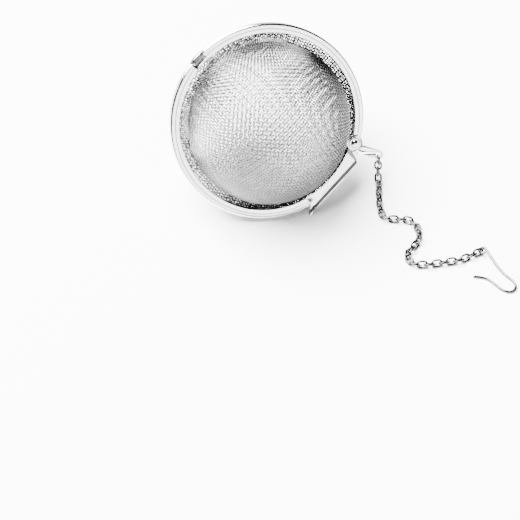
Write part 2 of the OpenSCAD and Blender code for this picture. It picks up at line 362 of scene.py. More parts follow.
class Expression:
    """A socket of a node tree that takes part in arithmetic: every operator adds one node."""

    def __init__(self, tree, socket):
        self.tree, self.socket = tree, socket

    def node(self, kind, inputs=None, out=0, **settings):
        """The output of any other node. Inputs are given by name or number, as values or expressions."""
        made = self.tree.nodes.new(kind)
        for key, value in settings.items():
            setattr(made, key, value)
        for key, value in (inputs or {}).items():
            if isinstance(value, Expression):
                self.tree.links.new(value.socket, made.inputs[key])
            else:
                made.inputs[key].default_value = value
        return Expression(self.tree, made.outputs[out])

    def math(self, operation, *values):
        """The output of one arithmetic node."""
        return self.node("ShaderNodeMath", dict(enumerate(values)), operation=operation)

    def __add__(self, other):
        return self.math("ADD", self, other)

    def __sub__(self, other):
        return self.math("SUBTRACT", self, other)

    def __rsub__(self, other):
        return self.math("SUBTRACT", other, self)

    def __mul__(self, other):
        return self.math("MULTIPLY", self, other)

    def __pow__(self, other):
        return self.math("POWER", self, other)

    def between(self, low, high):
        """This value, from 0 at low to 1 at high, smoothed."""
        return self.node("ShaderNodeMapRange", {0: self, 1: low, 2: high},
                         interpolation_type="SMOOTHSTEP")

    def mix(self, a, b):
        """The colour a where this value is 0 and b where it is 1."""
        return self.node("ShaderNodeMix", {"Factor": self, 6: a, 7: b}, out=2, data_type="RGBA")

    def noise(self, scale, detail, rough):
        """Noise over this vector, with so many spots to its unit."""
        return self.node("ShaderNodeTexNoise", {"Vector": self, "Scale": scale, "Detail": detail,
                                                "Roughness": rough})


def grey(value, warm=0.0):
    """An opaque grey, a little warm if asked."""
    return (value, value * (1 - 0.35 * warm), value * (1 - warm), 1)


def steel(name, bright, dull, rough, grain, relief, turned=False, streak=(1, 1, 1), crease_shade=None,
          fold=None):
    """Bare steel: polished, with clouds of duller metal, fine drawn grain and small dents. Lengths are the
    piece's own millimetres. Turned steel has its grain round the ball's axis and a painted dark ring there for the
    shade of a groove; crease paints shade on the cloth towards the lock and a painted shadow towards its brim, and
    fold paints shade on the lock's folded edge and notch."""
    made = bpy.data.materials.new(name)
    made.use_nodes = True
    tree = made.node_tree
    shader = tree.nodes["Principled BSDF"]
    shader.inputs["Metallic"].default_value = 1.0
    start = Expression(tree, None)
    at = start.node("ShaderNodeAttribute", out="Vector", attribute_name="own")
    x, y, z = (start.node("ShaderNodeSeparateXYZ", {0: at}, out=k) for k in range(3))
    radius = (x * x + y * y) ** 0.5
    if turned:
        turn = start.math("ARCTAN2", y, x)
        lines = start.node("ShaderNodeCombineXYZ", {0: radius * 6.0, 1: turn * 5.0, 2: z * 6.0})
    else:
        lines = start.node("ShaderNodeVectorMath", {0: at, 1: streak}, operation="MULTIPLY")
    clouds = at.noise(0.45, 3.0, 0.6)
    spots = at.noise(3.2, 2.0, 0.5)
    fine = lines.noise(grain, 3.0, 0.6)
    worn = (clouds * 0.5 + spots * 0.5).between(0.35, 0.68)
    colour = worn.mix(grey(bright), grey(dull, 0.02))
    if turned:
        # painted shade: a dark ring on the rims' flat face stands for the shade of a groove that their shape
        # doesn't have
        groove_shade = radius.between(*GROOVE_SHADE_INNER) * (1.0 - radius.between(*GROOVE_SHADE_OUTER))
        colour = (groove_shade * 0.85).mix(colour, grey(0.06))
    if crease_shade:
        # painted shade: the cloth darkens over the dome on the side towards the lock, and a painted shadow makes
        # it nearly black near the dome's foot, strongest on that side
        lock_side = (x * 0.9 + y * 0.35).between(-16.0, 12.0)
        shade = radius.between(5.0, 21.5) * (lock_side * 0.8 + 0.2)
        colour = shade.mix(colour, grey(bright * 0.12))
        dark = (radius + clouds + lock_side * 0.8 - 0.5).between(*crease_shade) * (lock_side * 0.5 + 0.5)
        colour = dark.mix(colour, grey(0.006))
    if fold:
        # painted shade: a nearly black band on top of the lock where its edge folds down, and more in the notch by
        # its pivot end
        inner, outer = fold
        edge = (x + clouds * 0.1).between(inner, inner + 0.15) \
            * (1.0 - (x + spots * 0.1).between(outer - 0.1, outer + 0.1)) * z.between(1.0, 1.3)
        notch_shade = y.between(*NOTCH_SHADE_START) * (1.0 - y.between(*NOTCH_SHADE_END)) * 0.9
        colour = ((edge + notch_shade * (1.0 - edge)) * 0.97).mix(colour, grey(0.01))
    tree.links.new(colour.socket, shader.inputs["Base Color"])
    low, high = rough
    tree.links.new((worn * (high - low) + fine * 0.08 + (low - 0.04)).socket, shader.inputs["Roughness"])
    height = fine * 0.5 + spots * 0.8 + clouds
    bump = start.node("ShaderNodeBump", {"Height": height, "Strength": relief, "Distance": 0.02 * MM},
                      out="Normal")
    tree.links.new(bump.socket, shader.inputs["Normal"])
    return made


STEELS = {
    # for both cloths, the pair of radii in the last entry sets where their painted shadow near the dome's foot
    # begins and ends
    "cloth_steel": (0.44, 0.24, (0.20, 0.30), 2.0, 0.25, {"crease_shade": (20.6, 22.2)}),
    # the rear cloth is the same steel as the front, painted nearly black for the shade inside the ball
    "cloth_shaded": (0.06, 0.04, (0.30, 0.44), 2.0, 0.25, {"crease_shade": (21.2, 22.6)}),
    "rim_polish": (0.80, 0.66, (0.08, 0.18), 1.0, 0.35, {"turned": True}),
    # the hinge's steel is painted darker than the rims for the shade in the slot
    "hinge_shaded": (0.22, 0.10, (0.14, 0.26), 2.0, 0.35, {}),
    # fold gives the radii between which the lock's folded edge gets its painted shade
    "lock_polish": (0.80, 0.64, (0.08, 0.18), 2.5, 0.30, {"streak": (6, 0.6, 6), "fold": (26.2, 27.25)}),
    "rivet_polish": (0.78, 0.60, (0.07, 0.16), 3.0, 0.30, {}),
    "chain_polish": (0.09, 0.03, (0.08, 0.20), 3.0, 0.35, {}),
    "hook_drawn": (0.10, 0.05, (0.10, 0.22), 4.0, 0.40, {}),
}


def material(name):
    """One of the infuser's materials, made the first time it is asked for."""
    if name in bpy.data.materials:
        return bpy.data.materials[name]
    *values, extra = STEELS[name]
    return steel(name, *values, **extra)


# ---------------------------------------------------------------- geometry nodes

def group_inputs(name, sockets):
    """A new geometry node group with the geometry input and output and the named inputs."""
    group = bpy.data.node_groups.new(name, "GeometryNodeTree")
    face = group.interface
    face.new_socket("Geometry", in_out="INPUT", socket_type="NodeSocketGeometry")
    face.new_socket("Geometry", in_out="OUTPUT", socket_type="NodeSocketGeometry")
    for label, kind in sockets:
        face.new_socket(label, in_out="INPUT", socket_type=kind)
    ins, outs = group.nodes.new("NodeGroupInput"), group.nodes.new("NodeGroupOutput")
    return group, ins, outs


def run_nodes(piece, group, values):
    """Runs the group on the piece with those named inputs, and leaves plain mesh."""
    mod = piece.modifiers.new("Nodes", "NODES")
    mod.node_group = group
    for item in group.interface.items_tree:
        if item.item_type == "SOCKET" and item.in_out == "INPUT" and item.name in values:
            mod[item.identifier] = values[item.name]
    return baked(piece)


def wire_group():
    """Turns lines of edges into round wires."""
    name = "wires_from_lines"
    if name in bpy.data.node_groups:
        return bpy.data.node_groups[name]
    group, ins, outs = group_inputs(name, [("Wire radius", "NodeSocketFloat"), ("Sides", "NodeSocketInt"),
                                           ("Material", "NodeSocketMaterial")])
    node, link = group.nodes.new, group.links.new
    lines = node("GeometryNodeMeshToCurve")
    ring = node("GeometryNodeCurvePrimitiveCircle")
    tube = node("GeometryNodeCurveToMesh")
    tube.inputs["Fill Caps"].default_value = True
    smooth = node("GeometryNodeSetShadeSmooth")
    real = node("GeometryNodeRealizeInstances")
    paint = node("GeometryNodeSetMaterial")
    link(ins.outputs["Geometry"], lines.inputs[0])
    link(ins.outputs["Wire radius"], ring.inputs["Radius"])
    link(ins.outputs["Sides"], ring.inputs["Resolution"])
    link(lines.outputs[0], tube.inputs[0])
    link(ring.outputs[0], tube.inputs[1])
    link(tube.outputs[0], smooth.inputs["Geometry"])
    link(smooth.outputs[0], real.inputs[0])
    link(real.outputs[0], paint.inputs["Geometry"])
    link(ins.outputs["Material"], paint.inputs["Material"])
    link(paint.outputs[0], outs.inputs[0])
    return group


def chain_group():
    """Puts an oval link on every point, turned by the point's own attribute."""
    name = "links_on_points"
    if name in bpy.data.node_groups:
        return bpy.data.node_groups[name]
    group, ins, outs = group_inputs(name, [
        ("Bend radius", "NodeSocketFloat"), ("Half straight", "NodeSocketFloat"),
        ("Wire radius", "NodeSocketFloat"), ("Weld", "NodeSocketFloat"),
        ("Material", "NodeSocketMaterial")])
    node, link = group.nodes.new, group.links.new

    def mathed(op, a, b=None):
        made = node("ShaderNodeMath")
        made.operation = op
        for k, value in enumerate([a] if b is None else [a, b]):
            if isinstance(value, (int, float)):
                made.inputs[k].default_value = value
            else:
                link(value, made.inputs[k])
        return made.outputs[0]

    course = node("GeometryNodeCurvePrimitiveCircle")
    course.inputs["Resolution"].default_value = 40
    link(ins.outputs["Bend radius"], course.inputs["Radius"])
    at = node("GeometryNodeInputPosition")
    split = node("ShaderNodeSeparateXYZ")
    link(at.outputs[0], split.inputs[0])
    x, y = split.outputs[0], split.outputs[1]
    side = mathed("DIVIDE", x, mathed("MAXIMUM", mathed("ABSOLUTE", x), 1e-6))
    shift = node("ShaderNodeCombineXYZ")
    link(mathed("MULTIPLY", side, ins.outputs["Half straight"]), shift.inputs[0])
    oval = node("GeometryNodeSetPosition")
    link(course.outputs[0], oval.inputs["Geometry"])
    link(shift.outputs[0], oval.inputs["Offset"])
    # the weld sits in the middle of one straight side
    near = mathed("DIVIDE", mathed("ABSOLUTE", x), mathed("MAXIMUM", mathed("MULTIPLY", y, 0.5), 1e-5))
    swell = mathed("ADD", 1.0, mathed("MULTIPLY", ins.outputs["Weld"],
                                      mathed("MAXIMUM", mathed("SUBTRACT", 1.0, near), 0.0)))
    width = node("GeometryNodeSetCurveRadius")
    link(oval.outputs[0], width.inputs[0])
    link(swell, width.inputs["Radius"])
    ring = node("GeometryNodeCurvePrimitiveCircle")
    ring.inputs["Resolution"].default_value = 14
    link(ins.outputs["Wire radius"], ring.inputs["Radius"])
    tube = node("GeometryNodeCurveToMesh")
    link(width.outputs[0], tube.inputs[0])
    link(ring.outputs[0], tube.inputs[1])
    if "Scale" in tube.inputs:
        link(swell, tube.inputs["Scale"])
    own = node("GeometryNodeStoreNamedAttribute")
    own.data_type = "FLOAT_VECTOR"
    own.domain = "POINT"
    own.inputs["Name"].default_value = "own"
    place = node("GeometryNodeInputPosition")
    big = node("ShaderNodeVectorMath")
    big.operation = "SCALE"
    big.inputs["Scale"].default_value = 1 / MM
    link(place.outputs[0], big.inputs[0])
    turn = node("GeometryNodeInputNamedAttribute")
    turn.data_type = "FLOAT_VECTOR"
    turn.inputs["Name"].default_value = "turn"
    size = node("GeometryNodeInputNamedAttribute")
    size.data_type = "FLOAT_VECTOR"
    size.inputs["Name"].default_value = "size"
    instances = node("GeometryNodeInstanceOnPoints")
    link(ins.outputs["Geometry"], instances.inputs["Points"])
    link(tube.outputs[0], instances.inputs["Instance"])
    link(turn.outputs["Attribute"], instances.inputs["Rotation"])
    link(size.outputs["Attribute"], instances.inputs["Scale"])
    real = node("GeometryNodeRealizeInstances")
    smooth = node("GeometryNodeSetShadeSmooth")
    paint = node("GeometryNodeSetMaterial")
    link(instances.outputs[0], real.inputs[0])
    link(real.outputs[0], own.inputs["Geometry"])
    link(big.outputs[0], own.inputs["Value"])
    link(own.outputs[0], smooth.inputs["Geometry"])
    link(smooth.outputs[0], paint.inputs["Geometry"])
    link(ins.outputs["Material"], paint.inputs["Material"])
    link(paint.outputs[0], outs.inputs[0])
    return group


# ---------------------------------------------------------------- wire cloth

class Drape:
    """A woven net laid over a dome with a flat brim: every wire keeps its pitch, and the cells shear."""

    def __init__(self, s):
        (self.r, self.z0, self.brim, self.end, self.fillet, self.pitch) = mm(
            s, "dome_r", "dome_z", "brim_z", "brim_r", "fillet_r", "pitch")
        rise = self.brim + self.fillet - self.z0
        self.bend = (math.sqrt((self.r + self.fillet) ** 2 - rise ** 2), self.brim + self.fillet)
        self.bend_start = math.atan2(-rise, -self.bend[0])

    def foot(self, p):
        """The nearest point of the surface, and the surface's direction there."""
        rho = math.hypot(p[0], p[1])
        c, s = (p[0] / rho, p[1] / rho) if rho > 1e-9 else (1.0, 0.0)
        if rho >= self.bend[0]:
            return np.array([p[0], p[1], self.brim]), np.array([0.0, 0.0, 1.0])
        a, b = rho - self.bend[0], p[2] - self.bend[1]
        if math.atan2(b, a) > self.bend_start and b < 0:
            size = math.hypot(a, b)
            a, b = a / size, b / size
            r, z = self.bend[0] + a * self.fillet, self.bend[1] + b * self.fillet
            return np.array([c * r, s * r, z]), np.array([-c * a, -s * a, -b])
        q = np.array([p[0], p[1], p[2] - self.z0])
        n = q / np.linalg.norm(q)
        return n * self.r + np.array([0, 0, self.z0]), n

    def corner(self, o, a, b):
        """The fourth corner of a cell on the surface, one pitch from a and from b."""
        d, n = self.foot(a + b - o)
        for _ in range(6):
            u = np.cross(n, (1.0, 0.0, 0.0) if abs(n[0]) < 0.8 else (0.0, 1.0, 0.0))
            u /= np.linalg.norm(u)
            v = np.cross(n, u)
            da, db = d - a, d - b
            rows = 2 * np.array([[da @ u, da @ v], [db @ u, db @ v]])
            miss = self.pitch ** 2 - np.array([da @ da, db @ db])
            step = np.linalg.solve(rows.T @ rows + 0.02 * np.eye(2), rows.T @ miss)
            size = np.linalg.norm(step)
            if size > 0.3:
                step *= 0.3 / size
            d, n = self.foot(d + u * step[0] + v * step[1])
        return d, n

    def quarter(self):
        """The nodes of one quarter of the net, as {(i, j): (point, direction)}."""
        nodes = {}
        crown, n = self.foot(np.array([0.0, 0.0, self.z0 + self.r]))
        nodes[0, 0] = crown, n
        for axis in (0, 1):
            p = crown
            k = 0
            ahead = np.array([1.0, 0, 0] if axis == 0 else [0, 1.0, 0])
            while math.hypot(p[0], p[1]) < self.end:
                k += 1
                step = p + ahead * self.pitch
                q, n = self.foot(step)
                for _ in range(3):
                    way = q - p
                    q, n = self.foot(p + way * self.pitch / np.linalg.norm(way))
                ahead = (q - p) / self.pitch
                p = q
                nodes[(k, 0) if axis == 0 else (0, k)] = q, n
        top = max(i for i, j in nodes)
        for i in range(1, top + 1):
            for j in range(1, top + 1):
                around = [(i - 1, j - 1), (i, j - 1), (i - 1, j)]
                if not all(k in nodes for k in around):
                    continue
                o, a, b = (nodes[k][0] for k in around)
                if min(math.hypot(*a[:2]), math.hypot(*b[:2])) > self.end:
                    continue
                nodes[i, j] = self.corner(o, a, b)
        return nodes

    def lines(self, height):
        """The waved courses of both families of wires: two lists of lists of points."""
        quarter = self.quarter()
        whole = {}
        for (i, j), (p, n) in quarter.items():
            for k in range(4):
                (ci, si) = ((1, 0), (0, 1), (-1, 0), (0, -1))[k]
                key = (i * ci - j * si, i * si + j * ci)
                spin = np.array([[ci, -si, 0], [si, ci, 0], [0, 0, 1]], float)
                whole[key] = spin @ p, spin @ n
        reach = max(i for i, j in whole)
        families = []
        for family in (0, 1):
            wires = []
            for j in range(-reach, reach + 1):
                run = []
                for i in range(-reach - 1, reach + 2):
                    key = (i, j) if family == 0 else (j, i)
                    if key in whole and math.hypot(*whole[key][0][:2]) < self.end:
                        sign = 1 if (i + j + family) % 2 == 0 else -1
                        p, n = whole[key]
                        run.append((p, n, sign))
                    elif run:
                        wires.append(run)
                        run = []
                if run:
                    wires.append(run)
            families.append([self.waved(run, height) for run in wires if len(run) > 2])
        return families

    def waved(self, run, height):
        """One wire's course, over and under its neighbours."""
        course = []
        for (p, n, s), (q, _, _) in zip(run, run[1:]):
            course.append(p + n * s * height * self.loose(p))
            course.append(self.foot((p + q) / 2)[0])
        p, n, s = run[-1]
        course.append(p + n * s * height * self.loose(p))
        return course

    def loose(self, p):
        """How far the wires still wave at a point: the brim is pressed flatter than the dome."""
        return 1 - 0.4 * min(1.0, max(0.0, (math.hypot(p[0], p[1]) - self.r) / self.fillet))


def lay_cloth(name, ball, s, lines, turn, side, keep, paint):
    """One family of wires of one dome, turned about the ball's axis, on the front (1) or rear (-1)."""
    c, d = math.cos(turn), math.sin(turn)
    verts, edges = [], []
    for line in lines:
        last = None
        for x, y, z in line:
            p = (c * x - d * y, d * x + c * y, side * z)
            if not keep(p):
                last = None
                continue
            verts.append(p)
            if last is not None:
                edges.append((last, len(verts) - 1))
            last = len(verts) - 1
    mesh = bpy.data.meshes.new(name)
    mesh.from_pydata([tuple(v) for v in ball.out(verts)], edges, [])
    own = mesh.attributes.new("own", "FLOAT_VECTOR", "POINT")
    own.data.foreach_set("vector", np.array(verts, np.float32).ravel())
    return run_nodes(linked(name, mesh), wire_group(), {"Wire radius": s.wire / 2, "Sides": s.sides,
                                                        "Material": paint})


class INFUSER_OT_cloth(bpy.types.Operator):
    """Weaves the wire cloth of both domes."""
    bl_idname = "infuser.cloth"
    bl_label = "Weave the domes"

    def execute(self, context):
        everything = context.scene.infuser
        s, rims, lock = everything.cloth, everything.rims, everything.lock
        ball = Ball(everything)
        families = Drape(s).lines(s.wire / MM * 0.32)
        clear = 0.1
        slot_x, slot_w = rims.slot_x / MM - clear, rims.slot_w / MM / 2 + clear
        rivet = polar(lock.pivot_r / MM, lock.pivot_turn)
        shank = lock.shank_r / MM + 0.2

        def front(p):
            if p[0] < -slot_x and abs(p[1]) < slot_w:
                return False
            return math.hypot(p[0] - rivet[0], p[1] - rivet[1]) > shank

        for body, side, turn, keep in (("front_half", 1, s.front_turn, front),
                                       ("rear_half", -1, s.rear_turn, lambda p: True)):
            short = body.split("_")[0]
            for lines, family in zip(families, ("warp", "weft")):
                # the rear dome's cloth gets its colour painted dark for the shade inside the ball
                paint = material("cloth_steel" if side > 0 else "cloth_shaded")
                piece = lay_cloth(f"{short}_{family}", ball, s, lines, turn, side, keep, paint)
                dress(piece, paint, body, "wire_cloth", f"{short}_mesh")
        return {"FINISHED"}


# ---------------------------------------------------------------- rims, hinge and ear

def hem_section(s, side, turn):
    """The folded hem's outline at one angle, as (radius, height) points."""
    r, w, t, sheet, gap, wave = mm(s, "rim_r", "hem_w", "hem_t", "sheet", "gap", "wave")
    mid, fold = gap / 2 + t / 2, r - t / 2
    wander = wave * (math.sin(5 * turn + 1.1) + 0.6 * math.sin(11 * turn + side) + 0.4 * math.sin(23 * turn))
    inner = r - w + wander
    dip = 0.5 * wander - 0.02
    soft = 0.1
    outer = arc((fold, mid), t / 2, -90, 90, 12)
    upper = [(fold - 0.7, mid + t / 2), (inner + 0.4, mid + t / 2 + dip * 0.4),
             *arc((inner + soft, mid + t / 2 - soft + dip), soft, 90, 180, 3),
             *arc((inner + soft, mid + t / 2 - sheet + soft + dip), soft, 180, 270, 3)]
    hollow = arc((fold, mid), t / 2 - sheet, 90, -90, 8)
    lower = [*arc((inner + soft, mid - t / 2 + sheet - soft), soft, 90, 180, 3),
             *arc((inner + soft, mid - t / 2 + soft), soft, 180, 270, 3)]
    return [(a, side * b) for a, b in outer + upper + hollow + lower]


class INFUSER_OT_rims(bpy.types.Operator):
    """Folds the two rims, and makes the hinge and the chain's ear."""
    bl_idname = "infuser.rims"
    bl_label = "Make the rims"

    def execute(self, context):
        everything = context.scene.infuser
        s = everything.rims
        ball = Ball(everything)
        polish = material("rim_polish")
        r, t, gap, hinge_x, slot_w, knuckle_w, bar_r = mm(
            s, "rim_r", "hem_t", "gap", "hinge_x", "slot_w", "knuckle_w", "bar_r")
        mid = gap / 2 + t / 2
        cut = math.asin(slot_w / 2 / (r - 1))
        count = 300
        turns = [math.pi + cut + (2 * math.pi - 2 * cut) * k / count for k in range(count + 1)]
        front = revolved("front_hem", ball, lambda a: hem_section(s, 1, a), turns, closed=False)
        dress(front, polish, "front_half", "rim_steel", "front_rim")
        turns = [2 * math.pi * k / count for k in range(count)]
        rear = revolved("rear_hem", ball, lambda a: hem_section(s, -1, a), turns)
        dress(rear, polish, "rear_half", "rim_steel", "rear_rim")

        # the narrow bridge of hem that closes the slot on its inner side
        slot_in = s.slot_x / MM
        inner = r - s.hem_w / MM + 0.02
        ends = [math.pi - cut - 0.004, math.pi - cut / 3, math.pi + cut / 3, math.pi + cut + 0.004]
        bridge = revolved("slot_bridge", ball, [(inner, gap / 2 + 0.02), (slot_in, gap / 2 + 0.02),
                                                (slot_in, gap / 2 + t - 0.02), (inner, gap / 2 + t - 0.02)],
                          ends, closed=False)
        dress(bevelled(bridge, 0.08), polish, "front_half", "rim_steel", "front_rim")

        # the bar across the slot
        half = slot_w / 2 + 0.4
        soft = 0.08
        profile = [(-half, bar_r - soft), (-half + soft, bar_r), (half - soft, bar_r), (half, bar_r - soft)]
        sides = 20
        verts = [(-hinge_x + q * math.cos(2 * math.pi * k / sides), y,
                  mid + q * math.sin(2 * math.pi * k / sides)) for y, q in profile for k in range(sides)]
        faces = [(i * sides + k, i * sides + (k + 1) % sides, (i + 1) * sides + (k + 1) % sides,
                  (i + 1) * sides + k) for i in range(3) for k in range(sides)]
        faces += [tuple(range(sides)), tuple(range(3 * sides, 4 * sides))]
        bar = clean(new_piece("hinge_bar", verts, faces, ball))
        # the bar and the knuckle get the hinge's colour, painted dark for the shade in the slot
        dress(bar, material("hinge_shaded"), "front_half", "rim_steel", "front_rim")

        # the knuckle: a strip that comes up through the slot and curls over the bar
        inner, outer = bar_r + 0.05, bar_r + 0.45
        ring = arc((0, 0), outer, 0, 180, 16) + [(-outer, -t - gap / 2), (-inner, -t - gap / 2)] \
            + arc((0, 0), inner, 180, 0, 12)
        knuckle = prism("hinge_knuckle", ball, ring, -knuckle_w / 2, knuckle_w / 2,
                        place=lambda p, y: (-hinge_x - p[0], y, mid + p[1]))
        bevelled(knuckle, 0.07)
        dress(knuckle, material("hinge_shaded"), "rear_half", "rim_steel", "rear_rim")

        # the ear
        ear_x, ear_w, ear_t, hole = mm(s, "ear_x", "ear_w", "ear_t", "ear_hole")
        c, d = math.cos(s.ear_turn), math.sin(s.ear_turn)
        start = r - t / 2 + 0.1
        outline = [(start, -ear_w / 2), *arc((ear_x, 0), ear_w / 2, -90, 90, 20), (start, ear_w / 2)]
        ear = prism("ear", ball, outline, -mid - ear_t / 2, -mid + ear_t / 2,
                    holes=[arc((ear_x, 0), hole, 0, 360 - 15, 23)],
                    place=lambda p, z: (c * p[0] - d * p[1], d * p[0] + c * p[1], z))
        bevelled(ear, 0.09)
        dress(ear, material("rivet_polish"), "rear_half", "rim_steel", "chain_ear")
        return {"FINISHED"}


# ---------------------------------------------------------------- lock, washer and rivet

def lock_sheet(s):
    """The middle surface of the lock's folded sheet: points and faces."""
    leaf, wall, bend, half, lower, inner, pivot_r, end_r, tab, tab_w = mm(
        s, "leaf", "wall", "bend", "half", "lower", "inner", "pivot_r", "end_r", "tab", "tab_w")
    flat = wall - bend
    columns = [-half, *np.arange(-lower, half, 0.5), half]
    under = inner + 0.5
    verts, faces, rows = [], [], []
    for y in columns:
        x0 = math.sqrt(inner ** 2 - y * y)
        row = [(x0 + (flat - x0) * k / 6, y, leaf) for k in range(7)]
        row += [(flat + bend * math.sin(a), y, leaf - bend + bend * math.cos(a))
                for a in np.radians(np.arange(10, 91, 10))]
        row += [(wall, y, z) for z in (0.4, 0.0)]
        if y >= -lower - 1e-9:
            row += [(wall, y, z) for z in (-0.4,)]
            row += [(flat + bend * math.sin(a), y, -leaf + bend - bend * math.cos(a))
                    for a in np.radians(np.arange(90, -1, -10))]
            x1 = math.sqrt(under ** 2 - y * y)
            row += [(flat + (x1 - flat) * k / 5, y, -leaf) for k in range(1, 6)]
        rows.append((len(verts), len(row)))
        verts += row
    for (a, n), (b, m) in zip(rows, rows[1:]):
        for k in range(min(n, m) - 1):
            faces.append((a + k, b + k, b + k + 1, a + k + 1))

    # the neck and the round pivot end, in the upper leaf's plane
    pivot = polar(pivot_r, s.pivot_turn)
    edge = rows[-1][0]
    start = verts[edge + 6]
    neck_out = (start[0] - 0.55, start[1] + 0.45)
    in_turn = math.asin(min(1.0, (half + 1.2) / inner))
    neck_in = (inner * math.cos(in_turn), inner * math.sin(in_turn))
    disc = arc(pivot, end_r, -62, 212, 30)
    ring = [neck_out, *disc, neck_in]
    loop = list(range(edge + 6, edge - 1, -1))
    first_new = len(verts)
    verts += [(x, y, leaf) for x, y in ring]
    faces.append(tuple(loop[::-1] + list(range(first_new, first_new + len(ring)))))

    # the finger tab, off the other end
    base = rows[0][0]
    c, d = math.cos(s.tab_lean), math.sin(s.tab_lean)
    root = (flat - 0.9, 0.3 - half)

    def tabbed(u, v):
        return (root[0] + c * u - d * v, root[1] + d * u + c * v, leaf)

    tip = [tabbed(tab_w / 2 * math.cos(a), -tab + tab_w / 2 * math.sin(a))
           for a in np.radians(np.arange(0, -181, -20))]
    first_new = len(verts)
    verts += [tabbed(tab_w / 2 + 0.05, -0.55), *tip, tabbed(-tab_w / 2 - 0.25, -0.6)]
    faces.append(tuple([base + 6, *range(first_new, len(verts)), base + 3, base + 4, base + 5]))
    return verts, faces


class INFUSER_OT_lock(bpy.types.Operator):
    """Folds the lock, and makes its washer and its rivet."""
    bl_idname = "infuser.lock"
    bl_label = "Make the lock"

    def execute(self, context):
        everything = context.scene.infuser
        s = everything.lock
        ball = Ball(everything)
        verts, faces = lock_sheet(s)
        piece = clean(new_piece("lock_plate", verts, faces, ball))
        thick = piece.modifiers.new("Thickness", "SOLIDIFY")
        thick.thickness = s.sheet
        thick.offset = 0
        thick.use_even_offset = True
        baked(piece)
        bevelled(piece, 0.09, limit=50)
        clean(piece)
        dress(piece, material("lock_polish"), "lock", "lock_steel", "lock_clip")

        shank, washer, head_r, head_h, leaf, sheet, pivot_r = mm(
            s, "shank_r", "washer_r", "head_r", "head_h", "leaf", "sheet", "pivot_r")
        at = polar(pivot_r, s.pivot_turn)
        top = leaf + sheet / 2

        def turned(name, outline, hollow):
            """An outline of (radius, height) turned round the rivet's axis."""
            sides = 48
            n = len(outline)
            points = [(at[0] + r * math.cos(2 * math.pi * k / sides),
                       at[1] + r * math.sin(2 * math.pi * k / sides), z)
                      for k in range(sides) for r, z in outline]
            walls = [(k * n + i, k * n + i + 1, ((k + 1) % sides) * n + i + 1, ((k + 1) % sides) * n + i)
                     for k in range(sides) for i in range(n - 1)]
            if hollow:
                walls += [(k * n + n - 1, k * n, ((k + 1) % sides) * n, ((k + 1) % sides) * n + n - 1)
                          for k in range(sides)]
            return clean(new_piece(name, points, walls, ball))

        play, washer_t, soft = 0.05, 0.2, 0.06
        low, high = top + play, top + play + washer_t
        ring = [(shank + play, low), (washer - soft, low), (washer, low + soft), (washer, high - soft),
                (washer - soft, high), (shank + play, high)]
        dress(turned("washer", ring, True), material("rivet_polish"), "front_half", "rivet_steel",
              "lock_washer")
        size = (head_r ** 2 + head_h ** 2) / (2 * head_h)
        head_low = high + play
        reach = math.asin(min(1.0, head_r / size))
        dome = [(size * math.sin(reach * k / 12), head_low + head_h - size + size * math.cos(reach * k / 12))
                for k in range(12, -1, -1)]
        outline = [(0.0, 0.12), (shank, 0.12), (shank, head_low - 0.04), (head_r - 0.06, head_low - 0.04),
                   *dome]
        dress(turned("rivet", outline, False), material("rivet_polish"), "front_half", "rivet_steel",
              "lock_rivet")
        return {"FINISHED"}


# ---------------------------------------------------------------- chain and hook

def link_place(node):
    """Where a link lies: its centre and its three directions, longest first."""
    co = np.array([v.co for v in frame["nodes"][node].data.vertices], float)
    co = np.unique(np.round(co, 7), axis=0)
    centre = co.mean(0)
    _, ways = np.linalg.eigh(np.cov((co - centre).T))
    x, y = ways[:, 2], ways[:, 1]
    if x[0] < 0:
        x = -x
    if y[2] < 0:
        y = -y
    return centre, np.array([x, y, np.cross(x, y)]).T


class INFUSER_OT_chain(bpy.types.Operator):
    """Puts a welded link where every link of the chain lies."""
    bl_idname = "infuser.chain"
    bl_label = "Make the chain"

    def execute(self, context):
        s = context.scene.infuser.chain
        spread = np.random.default_rng(7)
        for body, nodes in frame["record"]["behaviour"]["bodies"].items():
            if not body.startswith("chain_"):
                continue
            points, turns, sizes = [], [], []
            for node in nodes:
                centre, ways = link_place(node)
                points.append(tuple(centre))
                turns.append(tuple(Matrix(ways.tolist()).to_euler()))
                sizes.append(tuple(1 + spread.uniform(-0.008, 0.008, 3)))
            mesh = bpy.data.meshes.new(body + "_links")
            mesh.from_pydata(points, [], [])
            for label, values in (("turn", turns), ("size", sizes)):
                made = mesh.attributes.new(label, "FLOAT_VECTOR", "POINT")
                made.data.foreach_set("vector", np.array(values, np.float32).ravel())
            piece = linked(body + "_links", mesh)
            run_nodes(piece, chain_group(), {
                "Bend radius": (s.link_w - s.link_wire) / 2, "Half straight": (s.link_len - s.link_w) / 2,
                "Wire radius": s.link_wire / 2, "Weld": s.weld, "Material": material("chain_polish")})
            dress(piece, material("chain_polish"), body, "chain_steel", *nodes)
        return {"FINISHED"}


